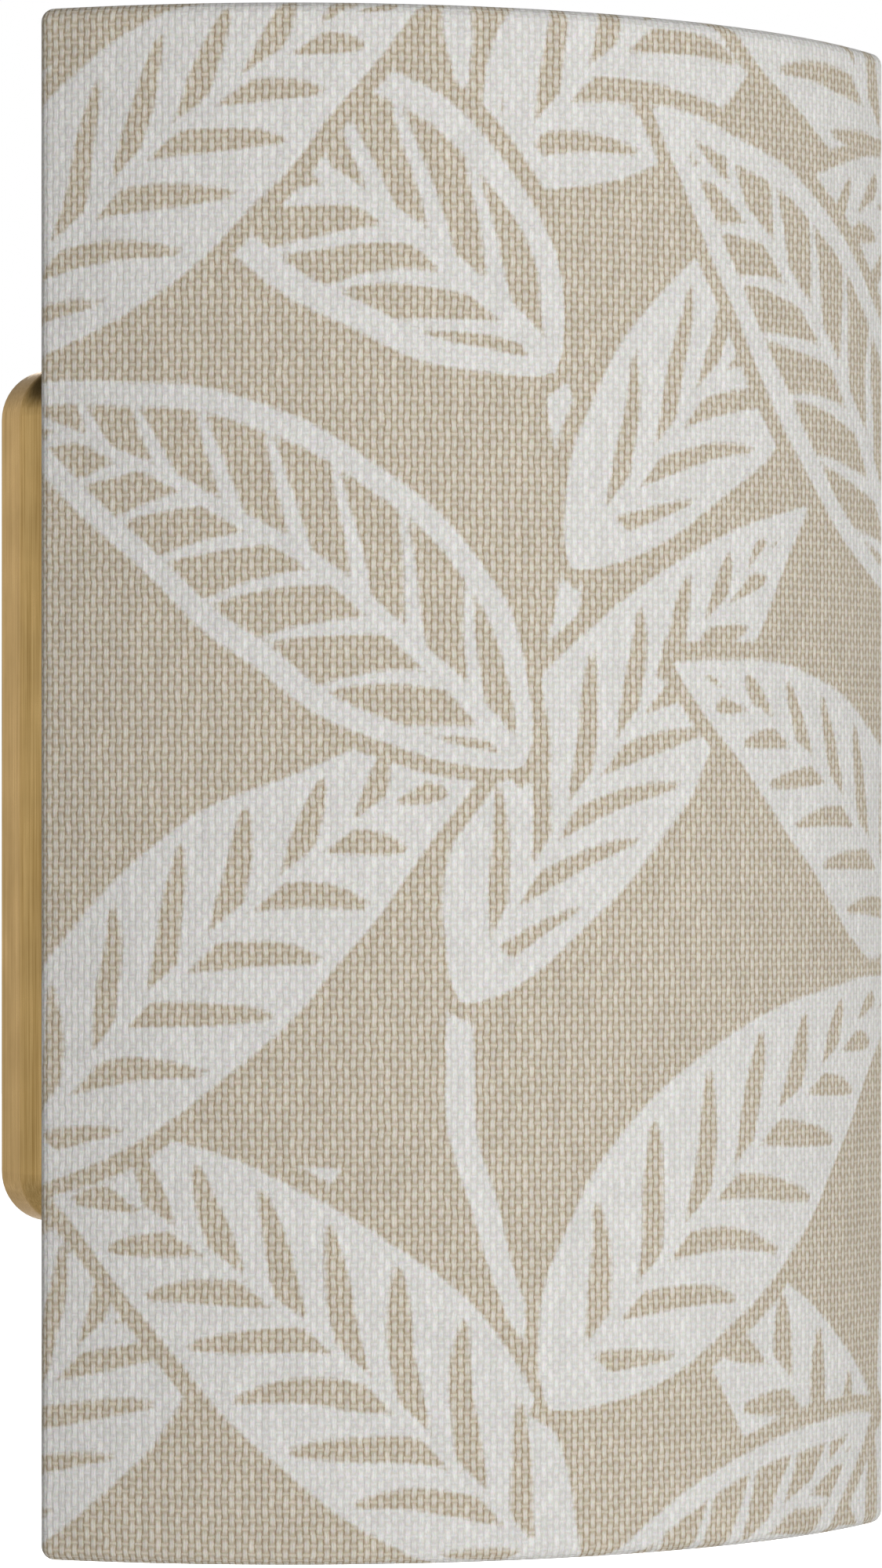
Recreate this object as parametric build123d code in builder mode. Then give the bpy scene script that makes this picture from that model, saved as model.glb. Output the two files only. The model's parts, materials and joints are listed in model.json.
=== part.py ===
from build123d import *
import os
from math import asin, cos, degrees, radians, sin, sqrt

os.makedirs("parts", exist_ok=True)

# Wall light: a curved cloth panel hung in front of a brushed brass backplate.
# The wall is the XZ plane.  The light stands out of it towards -Y, +Z is up, and the origin
# is the middle of the backplate, on the wall.  Every size is in millimetres.

# Backplate: a shallow pan pressed from brass sheet, open towards the wall
pan_width = 142.0
pan_height = 142.0
pan_depth = 16.0
pan_corner = 8.5          # corner radius seen from the front
pan_edge = 6.0            # rounding from the front face into the sides
pan_sheet = 1.2

# Wall plate, the steel plate that the pan goes over
plate_width = 116.0
plate_height = 60.0
plate_sheet = 1.5
plate_corner = 4.0
slot_spacing = 70.0       # between the two wall screws
slot_length = 12.0
slot_width = 5.0
stud_spacing = 100.0
stud_radius = 2.0
stud_grip = 5.0           # length of stud inside its domed nut

# Cable bush in the wall plate
bush_rise = 18.0
bush_bore = 4.5
bush_wall = 2.0
bush_flange = 2.2
bush_flange_sheet = 1.5

# Terminal block
block_drop = 13.0
block_length = 30.0
block_height = 15.0
block_base = 5.0          # how far its web stands off the plate
block_tower = 10.5        # how far its three towers stand off the plate
tower_width = 6.4
tower_pitch = 10.0
entry_level = 6.0         # wire entries, off the plate
entry_radius = 1.15
entry_depth = 6.0
clamp_screw_radius = 1.4
clamp_row_spacing = 7.5
clamp_screw_recess = 0.6
fixing_screw_radius = 1.2
fixing_head_radius = 1.7
fixing_head_height = 1.4

# Earth point
earth_side = 28.0
earth_drop = 13.0
earth_screw_radius = 2.0
earth_head_radius = 3.6
earth_head_height = 2.6
earth_ring_radius = 4.2
earth_ring_sheet = 0.8
tag_barrel_radius = 1.7
tag_barrel_length = 6.0
tag_barrel_drop = 4.4     # from the screw to the top of the barrel
tag_barrel_crown = 1.0    # solid end of the barrel

# Insulated wires
wire_radius = 0.9
wire_bend = 4.5
wire_offset = 1.6         # of each lamp wire from the middle of the brass tube
wire_end_gap = 1.0        # left in front of the earth wire in its barrel
earth_loop_start = 12.6   # from the middle, where the earth wire turns along the plate
earth_loop_drop = 8.1     # of its lowest run under the barrel

# M10 tube, washer and nuts
tube_radius = 5.0
tube_bore = 3.8
tube_grip = 4.5           # length screwed into the elbow
washer_radius = 7.5
washer_sheet = 1.0
locknut_flats = 14.0
locknut_height = 4.0
tube_tail = 1.5           # tube standing past its locknut

# Brass arm
arm_drop = 57.0
lamp_reach = 39.0         # from the wall to the lamp's axis
sleeve_radius = 7.0
elbow_size = 20.0
elbow_edge = 2.0
check_ring_radius = 9.0
check_ring_height = 3.0
knurl_count = 40
knurl_radius = 0.4

# Lampholder for an E14 lamp, heights counted from its own base
holder_radius = 14.0
holder_wall = 1.8
holder_height = 46.0
holder_split = 14.0       # joint between base and skirt
holder_neck = 4.0         # base standing inside the skirt
holder_floor = 3.0
holder_chamfer = 1.5
holder_boss_radius = 8.0
holder_boss_height = 9.0
holder_rim_sheet = 1.5
holder_rim_bore = 10.0
holder_thread_start = 20.0
holder_thread_pitch = 2.0
holder_thread_turns = 9
holder_thread_depth = 0.5
core_top = 20.0
core_wire_depth = 5.0
sleeve_thread_radius = 7.4
sleeve_thread_wall = 0.8
sleeve_thread_height = 21.0
sleeve_lip = 1.0
sleeve_lip_sheet = 0.6
contact_disc_radius = 5.0
contact_disc_sheet = 0.5
contact_bump_radius = 2.0
contact_face_radius = 1.4
contact_bump_height = 1.3

# E14 candle lamp
lamp_radius = 17.5
lamp_length = 98.0
lamp_seat_gap = 0.2       # between its tip and the centre contact at rest
cap_radius = 6.95
cap_thread_depth = 0.6
cap_thread_pitch = 2.82
cap_thread_turns = 5
cap_thread_start = 4.0    # above the lamp's tip
cap_shoulder = 19.0
cap_flare = 21.0
cap_flare_radius = 8.4
cap_height = 24.0
cap_rim = 0.5
cap_rim_height = 2.5
tip_radius = 2.8
tip_face_radius = 2.25
tip_height = 0.8
insulator_top = 3.0
insulator_radius = 5.6
glass_wall = 0.8
belly_ratio = 0.4         # of the glass's height
shoulder_ratio = 0.8      # of the glass's height
shoulder_radius_ratio = 0.56
glass_neck_radius = 7.8
stem_foot_radius = 6.8
stem_radius = 1.2
stem_taper_height = 9.0
lower_spider = 13.0       # above the cap's flare
upper_spider = 47.0
spider_radius = 6.4
spider_sheet = 0.8
filament_circle_radius = 5.0
filament_radius = 0.8
filament_count = 4

# Carriers, two brass straps across the pan whose ends hold the shade
carrier_rise = 38.0       # one above and one below the middle
strap_height = 14.0
strap_sheet = 2.0
strap_bend = 4.0
pin_reach = 10.45         # pin between the side wire and the strap
strap_nose = 5.0          # strap in front of each pin
strap_nose_corner = 3.0
notch_depth = 7.0
pin_radius = 2.0
pin_clearance = 0.2
pin_overhang = 3.5        # pin standing past the inner side of the strap
strap_screw_spacing = 50.0
strap_screw_radius = 1.75
strap_head_radius = 3.4
strap_head_height = 2.2
strap_nut_flats = 6.0
strap_nut_height = 2.6
domed_nut_radius = 4.5
domed_nut_height = 8.0
domed_nut_crown = 3.8

# Shade
shade_height = 250.0
shade_chord = 151.0       # straight across its two rear edges
shade_radius = 111.0      # of the cloth's outer face
shade_standoff = 34.0     # from the wall to the rear edges
shade_rise = 1.5          # middle of the shade above the middle of the backplate
cloth = 0.7
liner = 0.4
frame_wire = 1.5          # radius
frame_play = 0.1          # between the frame and what is wrapped round it
hem = 9.0                 # cloth turned in behind the frame
roll = 2.2                # rounding of the cloth over the frame
crossbar_inset = 16.0     # from the shade's top and bottom edges
hem_clearance = 0.25      # of the hem round each pin and crossbar

# Fits
close_fit = 0.05          # radial, threaded and pushed-in pieces
hole_fit = 0.25           # radial, screws through sheet

# Derived places
wall = Plane.XZ
pan_front = wall.offset(pan_depth)
pan_inside = pan_depth - pan_sheet
plate_front = wall.offset(plate_sheet)
stud_points = GridLocations(stud_spacing, 0, 2, 1)
elbow_rear = lamp_reach - elbow_size / 2
elbow_top = -arm_drop + elbow_size / 2
holder_base = elbow_top + check_ring_height
holder_inner = holder_radius - holder_wall
lamp_plane = Plane(origin=(0, -lamp_reach, holder_base), x_dir=(1, 0, 0), z_dir=(0, -1, 0))
lamp_axis = Axis((0, -lamp_reach, 0), (0, 0, 1))
contact_top = core_top + contact_disc_sheet + contact_bump_height
lamp_tip = contact_top + lamp_seat_gap

shade_sag = shade_radius - sqrt(shade_radius**2 - (shade_chord / 2) ** 2)
curve_centre = shade_radius - shade_standoff - shade_sag
half_angle = degrees(asin(shade_chord / 2 / shade_radius))
edge_thickness = 2 * cloth + liner + 2 * frame_wire + frame_play
shade_bottom = shade_rise - shade_height / 2
wire_line = shade_radius - cloth - liner - frame_wire - frame_play / 2
wire_inset = cloth + frame_wire + frame_play
wire_angle = half_angle - degrees(asin(wire_inset / wire_line))
arc_wire_rise = shade_height / 2 - wire_inset
side_wire_x = wire_line * sin(radians(wire_angle))
side_wire_y = curve_centre - wire_line * cos(radians(wire_angle))
side_wire_length = 2 * (arc_wire_rise - frame_wire - close_fit)
bar_half = side_wire_x - frame_wire - close_fit
bar_rise = shade_height / 2 - crossbar_inset
strap_span = 2 * (bar_half - pin_reach)
pin_level = strap_height / 2 - notch_depth + pin_radius + pin_clearance
pin_inner = strap_span / 2 - strap_sheet - pin_overhang
leg_end = -side_wire_y + strap_nose


# ---- Wall plate and what is fixed to it ----

with BuildPart() as wall_plate:
    with BuildSketch(wall):
        RectangleRounded(plate_width, plate_height, plate_corner)
        with Locations((0, bush_rise)):
            Circle(bush_bore + bush_wall + close_fit, mode=Mode.SUBTRACT)
        with GridLocations(slot_spacing, 0, 2, 1):
            SlotOverall(slot_length, slot_width, mode=Mode.SUBTRACT)
        with Locations((earth_side, -earth_drop)):
            Circle(earth_screw_radius + close_fit, mode=Mode.SUBTRACT)
        with Locations((tower_pitch / 2, -block_drop)):
            Circle(fixing_screw_radius + close_fit, mode=Mode.SUBTRACT)
    extrude(amount=plate_sheet)

with BuildPart() as cover_studs:
    with BuildSketch(plate_front):
        with stud_points:
            Circle(stud_radius)
    extrude(amount=pan_depth + stud_grip - plate_sheet)
    chamfer(cover_studs.faces().sort_by(Axis.Y)[:2].edges(), stud_radius / 4)

with BuildPart() as cable_bush:
    with BuildSketch(wall):
        with Locations((0, bush_rise)):
            Circle(bush_bore + bush_wall)
            Circle(bush_bore, mode=Mode.SUBTRACT)
    extrude(amount=plate_sheet)
    with BuildSketch(plate_front):
        with Locations((0, bush_rise)):
            Circle(bush_bore + bush_wall + bush_flange)
            Circle(bush_bore, mode=Mode.SUBTRACT)
    extrude(amount=bush_flange_sheet)
    fillet(cable_bush.faces().sort_by(Axis.Y)[0].edges(), bush_flange_sheet / 3)

with BuildPart() as terminal_block:
    with BuildSketch(plate_front):
        with Locations((0, -block_drop)):
            Rectangle(block_length, block_height)
    extrude(amount=block_base)
    with BuildSketch(plate_front):
        with Locations((0, -block_drop)):
            with GridLocations(tower_pitch, 0, 3, 1):
                Rectangle(tower_width, block_height)
    extrude(amount=block_tower)
    fillet(terminal_block.faces().sort_by(Axis.Y)[:3].edges().filter_by(Axis.Z), tower_width / 6)
    with BuildSketch(plate_front.offset(block_tower)):
        with Locations((0, -block_drop)):
            with GridLocations(tower_pitch, clamp_row_spacing, 3, 2):
                Circle(clamp_screw_radius + close_fit)
    extrude(amount=entry_level + wire_radius + close_fit - block_tower, mode=Mode.SUBTRACT)
    for end in (-1, 1):
        with BuildSketch(Plane.XY.offset(-block_drop + end * block_height / 2)):
            with Locations((0, -plate_sheet - entry_level)):
                with GridLocations(tower_pitch, 0, 3, 1):
                    Circle(entry_radius)
        extrude(amount=-end * entry_depth, mode=Mode.SUBTRACT)
    with BuildSketch(plate_front):
        with Locations((tower_pitch / 2, -block_drop)):
            Circle(fixing_screw_radius + close_fit)
    extrude(amount=block_base, mode=Mode.SUBTRACT)

with BuildPart() as terminal_screws:
    with BuildSketch(plate_front.offset(entry_level + wire_radius + 2 * close_fit)):
        with Locations((0, -block_drop)):
            with GridLocations(tower_pitch, clamp_row_spacing, 3, 2):
                Circle(clamp_screw_radius)
    extrude(amount=block_tower - clamp_screw_recess - entry_level - wire_radius - 2 * close_fit)
    with BuildSketch(plate_front.offset(block_tower - clamp_screw_recess)):
        with Locations((0, -block_drop)):
            with GridLocations(tower_pitch, clamp_row_spacing, 3, 2):
                Rectangle(3 * clamp_screw_radius, clamp_screw_radius / 3)
    extrude(amount=-clamp_screw_radius / 3, mode=Mode.SUBTRACT)

with BuildPart() as terminal_fixing_screw:
    with BuildSketch(wall):
        with Locations((tower_pitch / 2, -block_drop)):
            Circle(fixing_screw_radius)
    extrude(amount=plate_sheet + block_base)
    with BuildSketch(plate_front.offset(block_base)):
        with Locations((tower_pitch / 2, -block_drop)):
            Circle(fixing_head_radius)
    extrude(amount=fixing_head_height)
    fillet(terminal_fixing_screw.faces().sort_by(Axis.Y)[0].edges(), fixing_head_height / 3)

with BuildPart() as earth_washer:
    with BuildSketch(plate_front):
        with Locations((earth_side, -earth_drop)):
            Circle(earth_ring_radius)
            Circle(earth_screw_radius + hole_fit, mode=Mode.SUBTRACT)
    extrude(amount=earth_ring_sheet)

tag_front = plate_sheet + 2 * earth_ring_sheet
tag_barrel_depth = plate_sheet + tag_barrel_radius + close_fit
tag_barrel_top = -earth_drop - tag_barrel_drop
with BuildPart() as earth_tag:
    with BuildSketch(wall.offset(tag_front)):
        with Locations((earth_side, -earth_drop)):
            Circle(earth_ring_radius)
            Rectangle(2 * tag_barrel_radius, 2 * tag_barrel_drop, align=(Align.CENTER, Align.MAX))
            Circle(earth_screw_radius + hole_fit, mode=Mode.SUBTRACT)
    extrude(amount=-earth_ring_sheet)
    with BuildSketch(Plane.XY.offset(tag_barrel_top - tag_barrel_length)):
        with Locations((earth_side, -tag_barrel_depth)):
            Circle(tag_barrel_radius)
    extrude(amount=tag_barrel_length - close_fit)
    with BuildSketch(Plane.XY.offset(tag_barrel_top - tag_barrel_length)):
        with Locations((earth_side, -tag_barrel_depth)):
            Circle(wire_radius + close_fit)
    extrude(amount=tag_barrel_length - tag_barrel_crown, mode=Mode.SUBTRACT)

with BuildPart() as earth_screw:
    with BuildSketch(wall):
        with Locations((earth_side, -earth_drop)):
            Circle(earth_screw_radius)
    extrude(amount=tag_front)
    with BuildSketch(wall.offset(tag_front)):
        with Locations((earth_side, -earth_drop)):
            Circle(earth_head_radius)
    extrude(amount=earth_head_height)
    fillet(earth_screw.faces().sort_by(Axis.Y)[0].edges(), earth_head_height / 3)
    with BuildSketch(wall.offset(tag_front + earth_head_height)):
        with Locations((earth_side, -earth_drop)):
            Rectangle(3 * earth_screw_radius, earth_screw_radius / 2)
    extrude(amount=-earth_head_height / 2, mode=Mode.SUBTRACT)


# ---- Brass pan and its domed nuts ----

def pan_block(inset):
    with BuildPart() as block:
        with BuildSketch(wall):
            RectangleRounded(pan_width - 2 * inset, pan_height - 2 * inset, pan_corner - inset)
        extrude(amount=pan_depth - inset)
        fillet(block.faces().sort_by(Axis.Y)[0].edges(), pan_edge - inset)
    return block.part


strap_screws = GridLocations(strap_screw_spacing, 2 * carrier_rise, 2, 2)

with BuildPart() as backplate_cover:
    add(pan_block(0))
    add(pan_block(pan_sheet), mode=Mode.SUBTRACT)
    with BuildSketch(pan_front):
        with Locations((0, -arm_drop)):
            Circle(tube_radius + hole_fit)
        with stud_points:
            Circle(stud_radius + hole_fit)
        with strap_screws:
            Circle(strap_screw_radius + hole_fit)
    extrude(amount=-pan_sheet, mode=Mode.SUBTRACT)

with BuildPart() as cover_nuts:
    with BuildSketch(pan_front):
        with stud_points:
            Circle(domed_nut_radius)
    extrude(amount=domed_nut_height)
    fillet(cover_nuts.faces().sort_by(Axis.Y)[:2].edges(), domed_nut_crown)
    with BuildSketch(pan_front):
        with stud_points:
            Circle(stud_radius + close_fit)
    extrude(amount=stud_grip + close_fit, mode=Mode.SUBTRACT)


# ---- Brass arm ----

tube_start = pan_inside - washer_sheet - locknut_height - tube_tail
tube_end = elbow_rear + tube_grip

with BuildPart() as rear_nipple:
    with BuildSketch(wall.offset(tube_start)):
        with Locations((0, -arm_drop)):
            Circle(tube_radius)
            Circle(tube_bore, mode=Mode.SUBTRACT)
    extrude(amount=tube_end - tube_start)

with BuildPart() as rear_washer:
    with BuildSketch(wall.offset(pan_inside)):
        with Locations((0, -arm_drop)):
            Circle(washer_radius)
            Circle(tube_radius + hole_fit, mode=Mode.SUBTRACT)
    extrude(amount=-washer_sheet)

with BuildPart() as rear_locknut:
    with BuildSketch(wall.offset(pan_inside - washer_sheet)):
        with Locations((0, -arm_drop)):
            RegularPolygon(locknut_flats / 2, 6, major_radius=False)
            Circle(tube_radius + close_fit, mode=Mode.SUBTRACT)
    extrude(amount=-locknut_height)

with BuildPart() as arm_sleeve:
    with BuildSketch(pan_front):
        with Locations((0, -arm_drop)):
            Circle(sleeve_radius)
            Circle(tube_radius + hole_fit, mode=Mode.SUBTRACT)
    extrude(amount=elbow_rear - pan_depth)

with BuildPart() as elbow_block:
    with Locations((0, -lamp_reach, -arm_drop)):
        Box(elbow_size, elbow_size, elbow_size)
    fillet(elbow_block.edges(), elbow_edge)
    with BuildSketch(wall.offset(elbow_rear)) as rear_thread:
        with Locations((0, -arm_drop)):
            Circle(tube_radius + close_fit)
    extrude(amount=tube_grip + close_fit, mode=Mode.SUBTRACT)
    with BuildSketch(wall.offset(elbow_rear)) as rear_passage:
        with Locations((0, -arm_drop)):
            Circle(tube_bore)
    extrude(amount=elbow_size / 2, mode=Mode.SUBTRACT)
    with BuildSketch(Plane.XY.offset(elbow_top)) as upper_thread:
        with Locations((0, -lamp_reach)):
            Circle(tube_radius + close_fit)
    extrude(amount=-tube_grip - close_fit, mode=Mode.SUBTRACT)
    with BuildSketch(Plane.XY.offset(elbow_top)) as upper_passage:
        with Locations((0, -lamp_reach)):
            Circle(tube_bore)
    extrude(amount=-elbow_size / 2, mode=Mode.SUBTRACT)

with BuildPart() as upper_nipple:
    with BuildSketch(Plane.XY.offset(elbow_top - tube_grip)):
        with Locations((0, -lamp_reach)):
            Circle(tube_radius)
            Circle(tube_bore, mode=Mode.SUBTRACT)
    extrude(amount=tube_grip + check_ring_height + holder_boss_height - close_fit)

with BuildPart() as check_ring:
    with BuildSketch(Plane.XY.offset(elbow_top)):
        with Locations((0, -lamp_reach)):
            Circle(check_ring_radius)
            Circle(tube_radius + close_fit, mode=Mode.SUBTRACT)
    extrude(amount=check_ring_height)
    chamfer(check_ring.edges().filter_by(GeomType.CIRCLE).sort_by(SortBy.RADIUS)[-2:], elbow_edge / 4)
    with BuildSketch(Plane.XY.offset(elbow_top)):
        with Locations((0, -lamp_reach)):
            with PolarLocations(check_ring_radius, knurl_count):
                Circle(knurl_radius)
    extrude(amount=check_ring_height, mode=Mode.SUBTRACT)


# ---- Lampholder, each piece turned about the lamp's axis ----

neck_radius = holder_inner - close_fit
neck_inner = neck_radius - holder_wall
neck_top = holder_split + holder_neck

with BuildPart() as lampholder_base:
    with BuildSketch(lamp_plane):
        with BuildLine():
            Polyline(
                (tube_radius + close_fit, 0),
                (holder_radius - holder_chamfer, 0),
                (holder_radius, holder_chamfer),
                (holder_radius, holder_split),
                (neck_radius, holder_split),
                (neck_radius, neck_top),
                (neck_inner, neck_top),
                (neck_inner, holder_floor),
                (holder_boss_radius, holder_floor),
                (holder_boss_radius, holder_boss_height),
                (tube_radius + close_fit, holder_boss_height),
                close=True,
            )
        make_face()
    revolve(axis=lamp_axis)

with BuildPart() as lampholder_core:
    with BuildSketch(Plane.XY.offset(holder_base + holder_boss_height)):
        with Locations((0, -lamp_reach)):
            Circle(neck_inner - close_fit)
    extrude(amount=core_top - holder_boss_height)
    with BuildSketch(Plane.XY.offset(holder_base + holder_boss_height)):
        with Locations((0, -lamp_reach)):
            with GridLocations(2 * wire_offset, 0, 2, 1):
                Circle(wire_radius + close_fit)
    extrude(amount=core_wire_depth + close_fit, mode=Mode.SUBTRACT)

thread_steps = range(2 * holder_thread_turns + 1)
skirt_thread = [
    (
        holder_radius - holder_thread_depth * (step % 2),
        holder_thread_start + step * holder_thread_pitch / 2,
    )
    for step in thread_steps
]
with BuildPart() as lampholder_skirt:
    with BuildSketch(lamp_plane):
        with BuildLine():
            Polyline(
                (holder_inner, holder_split),
                (holder_radius, holder_split),
                *skirt_thread,
                (holder_radius, holder_height - holder_chamfer),
                (holder_radius - holder_chamfer, holder_height),
                (holder_rim_bore, holder_height),
                (holder_rim_bore, holder_height - holder_rim_sheet),
                (holder_inner, holder_height - holder_rim_sheet),
                close=True,
            )
        make_face()
    revolve(axis=lamp_axis)

thread_top = core_top + sleeve_thread_height
thread_outer = sleeve_thread_radius + sleeve_thread_wall
with BuildPart() as thread_sleeve:
    with BuildSketch(lamp_plane):
        with BuildLine():
            Polyline(
                (sleeve_thread_radius - sleeve_lip, core_top),
                (thread_outer, core_top),
                (thread_outer, thread_top),
                (sleeve_thread_radius, thread_top),
                (sleeve_thread_radius, core_top + sleeve_lip_sheet),
                (sleeve_thread_radius - sleeve_lip, core_top + sleeve_lip_sheet),
                close=True,
            )
        make_face()
    revolve(axis=lamp_axis)

with BuildPart() as centre_contact:
    with BuildSketch(lamp_plane):
        with BuildLine():
            Polyline(
                (0, core_top),
                (contact_disc_radius, core_top),
                (contact_disc_radius, core_top + contact_disc_sheet),
                (contact_bump_radius, core_top + contact_disc_sheet),
                (contact_face_radius, contact_top),
                (0, contact_top),
                close=True,
            )
        make_face()
    revolve(axis=lamp_axis)


# ---- Lamp ----

with BuildPart() as lamp_contact:
    with BuildSketch(lamp_plane):
        with BuildLine():
            Polyline(
                (0, lamp_tip),
                (tip_face_radius, lamp_tip),
                (tip_radius, lamp_tip + tip_height),
                (0, lamp_tip + tip_height),
                close=True,
            )
        make_face()
    revolve(axis=lamp_axis)

with BuildPart() as lamp_insulator:
    with BuildSketch(lamp_plane):
        with BuildLine():
            Polyline(
                (0, lamp_tip + tip_height),
                (tip_radius, lamp_tip + tip_height),
                (insulator_radius, lamp_tip + insulator_top),
                (0, lamp_tip + insulator_top),
                close=True,
            )
        make_face()
    revolve(axis=lamp_axis)

cap_steps = range(2 * cap_thread_turns + 1)
cap_thread = [
    (
        cap_radius - cap_thread_depth * (step % 2),
        lamp_tip + cap_thread_start + step * cap_thread_pitch / 2,
    )
    for step in cap_steps
]
cap_seat = lamp_tip + cap_height - cap_rim_height
with BuildPart() as lamp_cap:
    with BuildSketch(lamp_plane):
        with BuildLine():
            Polyline(
                (0, lamp_tip + insulator_top),
                (insulator_radius, lamp_tip + insulator_top),
                *cap_thread,
                (cap_radius, lamp_tip + cap_shoulder),
                (cap_flare_radius, lamp_tip + cap_flare),
                (cap_flare_radius, lamp_tip + cap_height),
                (cap_flare_radius - cap_rim, lamp_tip + cap_height),
                (cap_flare_radius - cap_rim, cap_seat),
                (0, cap_seat),
                close=True,
            )
        make_face()
    revolve(axis=lamp_axis)

lamp_top = lamp_tip + lamp_length
glass_height = lamp_top - cap_seat
belly_height = cap_seat + belly_ratio * glass_height
shoulder_height = cap_seat + shoulder_ratio * glass_height
shoulder_radius = shoulder_radius_ratio * lamp_radius


def glass_outline(wall_inset):
    neck = glass_neck_radius - wall_inset
    top = lamp_top - wall_inset
    with BuildSketch(lamp_plane) as outline:
        with BuildLine():
            lower = Spline(
                (neck, cap_seat + cap_rim_height),
                (lamp_radius - wall_inset, belly_height),
                tangents=[(0, 1), (0, 1)],
            )
            upper = Spline(
                lower @ 1,
                (shoulder_radius - wall_inset, shoulder_height),
                (0, top),
                tangents=[(0, 1), (-1, 0)],
            )
            Polyline(upper @ 1, (0, cap_seat), (neck, cap_seat), lower @ 0)
        make_face()
    return outline.sketch


with BuildPart() as lamp_glass:
    revolve(glass_outline(0), axis=lamp_axis)
    revolve(glass_outline(glass_wall), axis=lamp_axis, mode=Mode.SUBTRACT)

spider_low = cap_seat + lower_spider
spider_high = cap_seat + upper_spider
with BuildPart() as lamp_stem:
    with BuildSketch(lamp_plane):
        with BuildLine():
            Polyline(
                (0, cap_seat),
                (stem_foot_radius, cap_seat),
                (stem_radius, cap_seat + stem_taper_height),
                (stem_radius, spider_low),
                (spider_radius, spider_low),
                (spider_radius, spider_low + spider_sheet),
                (stem_radius, spider_low + spider_sheet),
                (stem_radius, spider_high),
                (spider_radius, spider_high),
                (spider_radius, spider_high + spider_sheet),
                (0, spider_high + spider_sheet),
                close=True,
            )
        make_face()
    revolve(axis=lamp_axis)

with BuildPart() as lamp_filaments:
    with BuildSketch(Plane.XY.offset(holder_base + spider_low + spider_sheet)):
        with Locations((0, -lamp_reach)):
            with PolarLocations(filament_circle_radius, filament_count):
                Circle(filament_radius)
    extrude(amount=spider_high - spider_low - spider_sheet)


# ---- Internal wires, from the terminal block ----

def insulated_wire(*route):
    with BuildPart() as wire:
        with BuildLine() as path:
            FilletPolyline(*route, radius=wire_bend)
        with BuildSketch(Plane(origin=path.line @ 0, z_dir=path.line % 0)):
            Circle(wire_radius)
        sweep()
    return wire.part


entry_y = -plate_sheet - entry_level
block_foot = -block_drop - block_height / 2
wire_start = block_foot + entry_depth - close_fit
wall_side_y = -plate_sheet - wire_radius - 2 * wire_offset
core_wire_end = holder_base + holder_boss_height + core_wire_depth


def lamp_wire(side):
    return insulated_wire(
        (side * tower_pitch, entry_y, wire_start),
        (side * tower_pitch, entry_y, block_foot - 2 * wire_bend),
        (side * wire_offset, wall_side_y, -arm_drop),
        (side * wire_offset, -lamp_reach, -arm_drop),
        (side * wire_offset, -lamp_reach, core_wire_end),
    )


with BuildPart() as live_wire:
    add(lamp_wire(-1))

with BuildPart() as neutral_wire:
    add(lamp_wire(1))

earth_loop_foot = tag_barrel_top - tag_barrel_length - earth_loop_drop
earth_wire_end = tag_barrel_top - tag_barrel_crown - wire_end_gap
with BuildPart() as earth_wire:
    add(
        insulated_wire(
            (0, entry_y, wire_start),
            (0, entry_y, block_foot - wire_bend),
            (earth_loop_start, -tag_barrel_depth, earth_loop_foot),
            (earth_side, -tag_barrel_depth, earth_loop_foot),
            (earth_side, -tag_barrel_depth, earth_wire_end),
        )
    )


# ---- Carriers ----

def carrier(level):
    with BuildPart() as strap:
        with BuildSketch(Plane.XY.offset(level - strap_height / 2)):
            with BuildLine():
                FilletPolyline(
                    (-(strap_span - strap_sheet) / 2, -leg_end),
                    (-(strap_span - strap_sheet) / 2, -pan_depth - strap_sheet / 2),
                    ((strap_span - strap_sheet) / 2, -pan_depth - strap_sheet / 2),
                    ((strap_span - strap_sheet) / 2, -leg_end),
                    radius=strap_bend,
                )
            trace(line_width=strap_sheet)
        extrude(amount=strap_height)
        nose_edges = strap.edges().filter_by(Axis.X).group_by(Axis.Y)[0]
        fillet(nose_edges, strap_nose_corner)
        with BuildSketch(Plane.YZ):
            with Locations((side_wire_y, level + pin_level)):
                Circle(pin_radius + pin_clearance)
                Rectangle(
                    2 * (pin_radius + pin_clearance),
                    strap_height,
                    align=(Align.CENTER, Align.MIN),
                )
        extrude(amount=strap_span, both=True, mode=Mode.SUBTRACT)
        with BuildSketch(pan_front):
            with Locations((0, level)):
                with GridLocations(strap_screw_spacing, 0, 2, 1):
                    Circle(strap_screw_radius + hole_fit)
        extrude(amount=strap_sheet, mode=Mode.SUBTRACT)
    return strap.part


with BuildPart() as upper_carrier:
    add(carrier(carrier_rise))

with BuildPart() as lower_carrier:
    add(carrier(-carrier_rise))

strap_nut_inner = pan_inside - strap_nut_height
with BuildPart() as carrier_screws:
    with BuildSketch(wall.offset(strap_nut_inner)):
        with strap_screws:
            Circle(strap_screw_radius)
    extrude(amount=pan_depth + strap_sheet - strap_nut_inner)
    with BuildSketch(wall.offset(pan_depth + strap_sheet)):
        with strap_screws:
            Circle(strap_head_radius)
    extrude(amount=strap_head_height)
    fillet(carrier_screws.faces().sort_by(Axis.Y)[:4].edges(), strap_head_height / 2)
    with BuildSketch(wall.offset(pan_depth + strap_sheet + strap_head_height)):
        with strap_screws:
            Rectangle(3 * strap_screw_radius, strap_screw_radius / 2)
            Rectangle(strap_screw_radius / 2, 3 * strap_screw_radius)
    extrude(amount=-strap_head_height / 2, mode=Mode.SUBTRACT)

with BuildPart() as carrier_nuts:
    with BuildSketch(wall.offset(strap_nut_inner)):
        with strap_screws:
            RegularPolygon(strap_nut_flats / 2, 6, major_radius=False)
            Circle(strap_screw_radius + close_fit, mode=Mode.SUBTRACT)
    extrude(amount=strap_nut_height)


# ---- Shade frame ----

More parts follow.
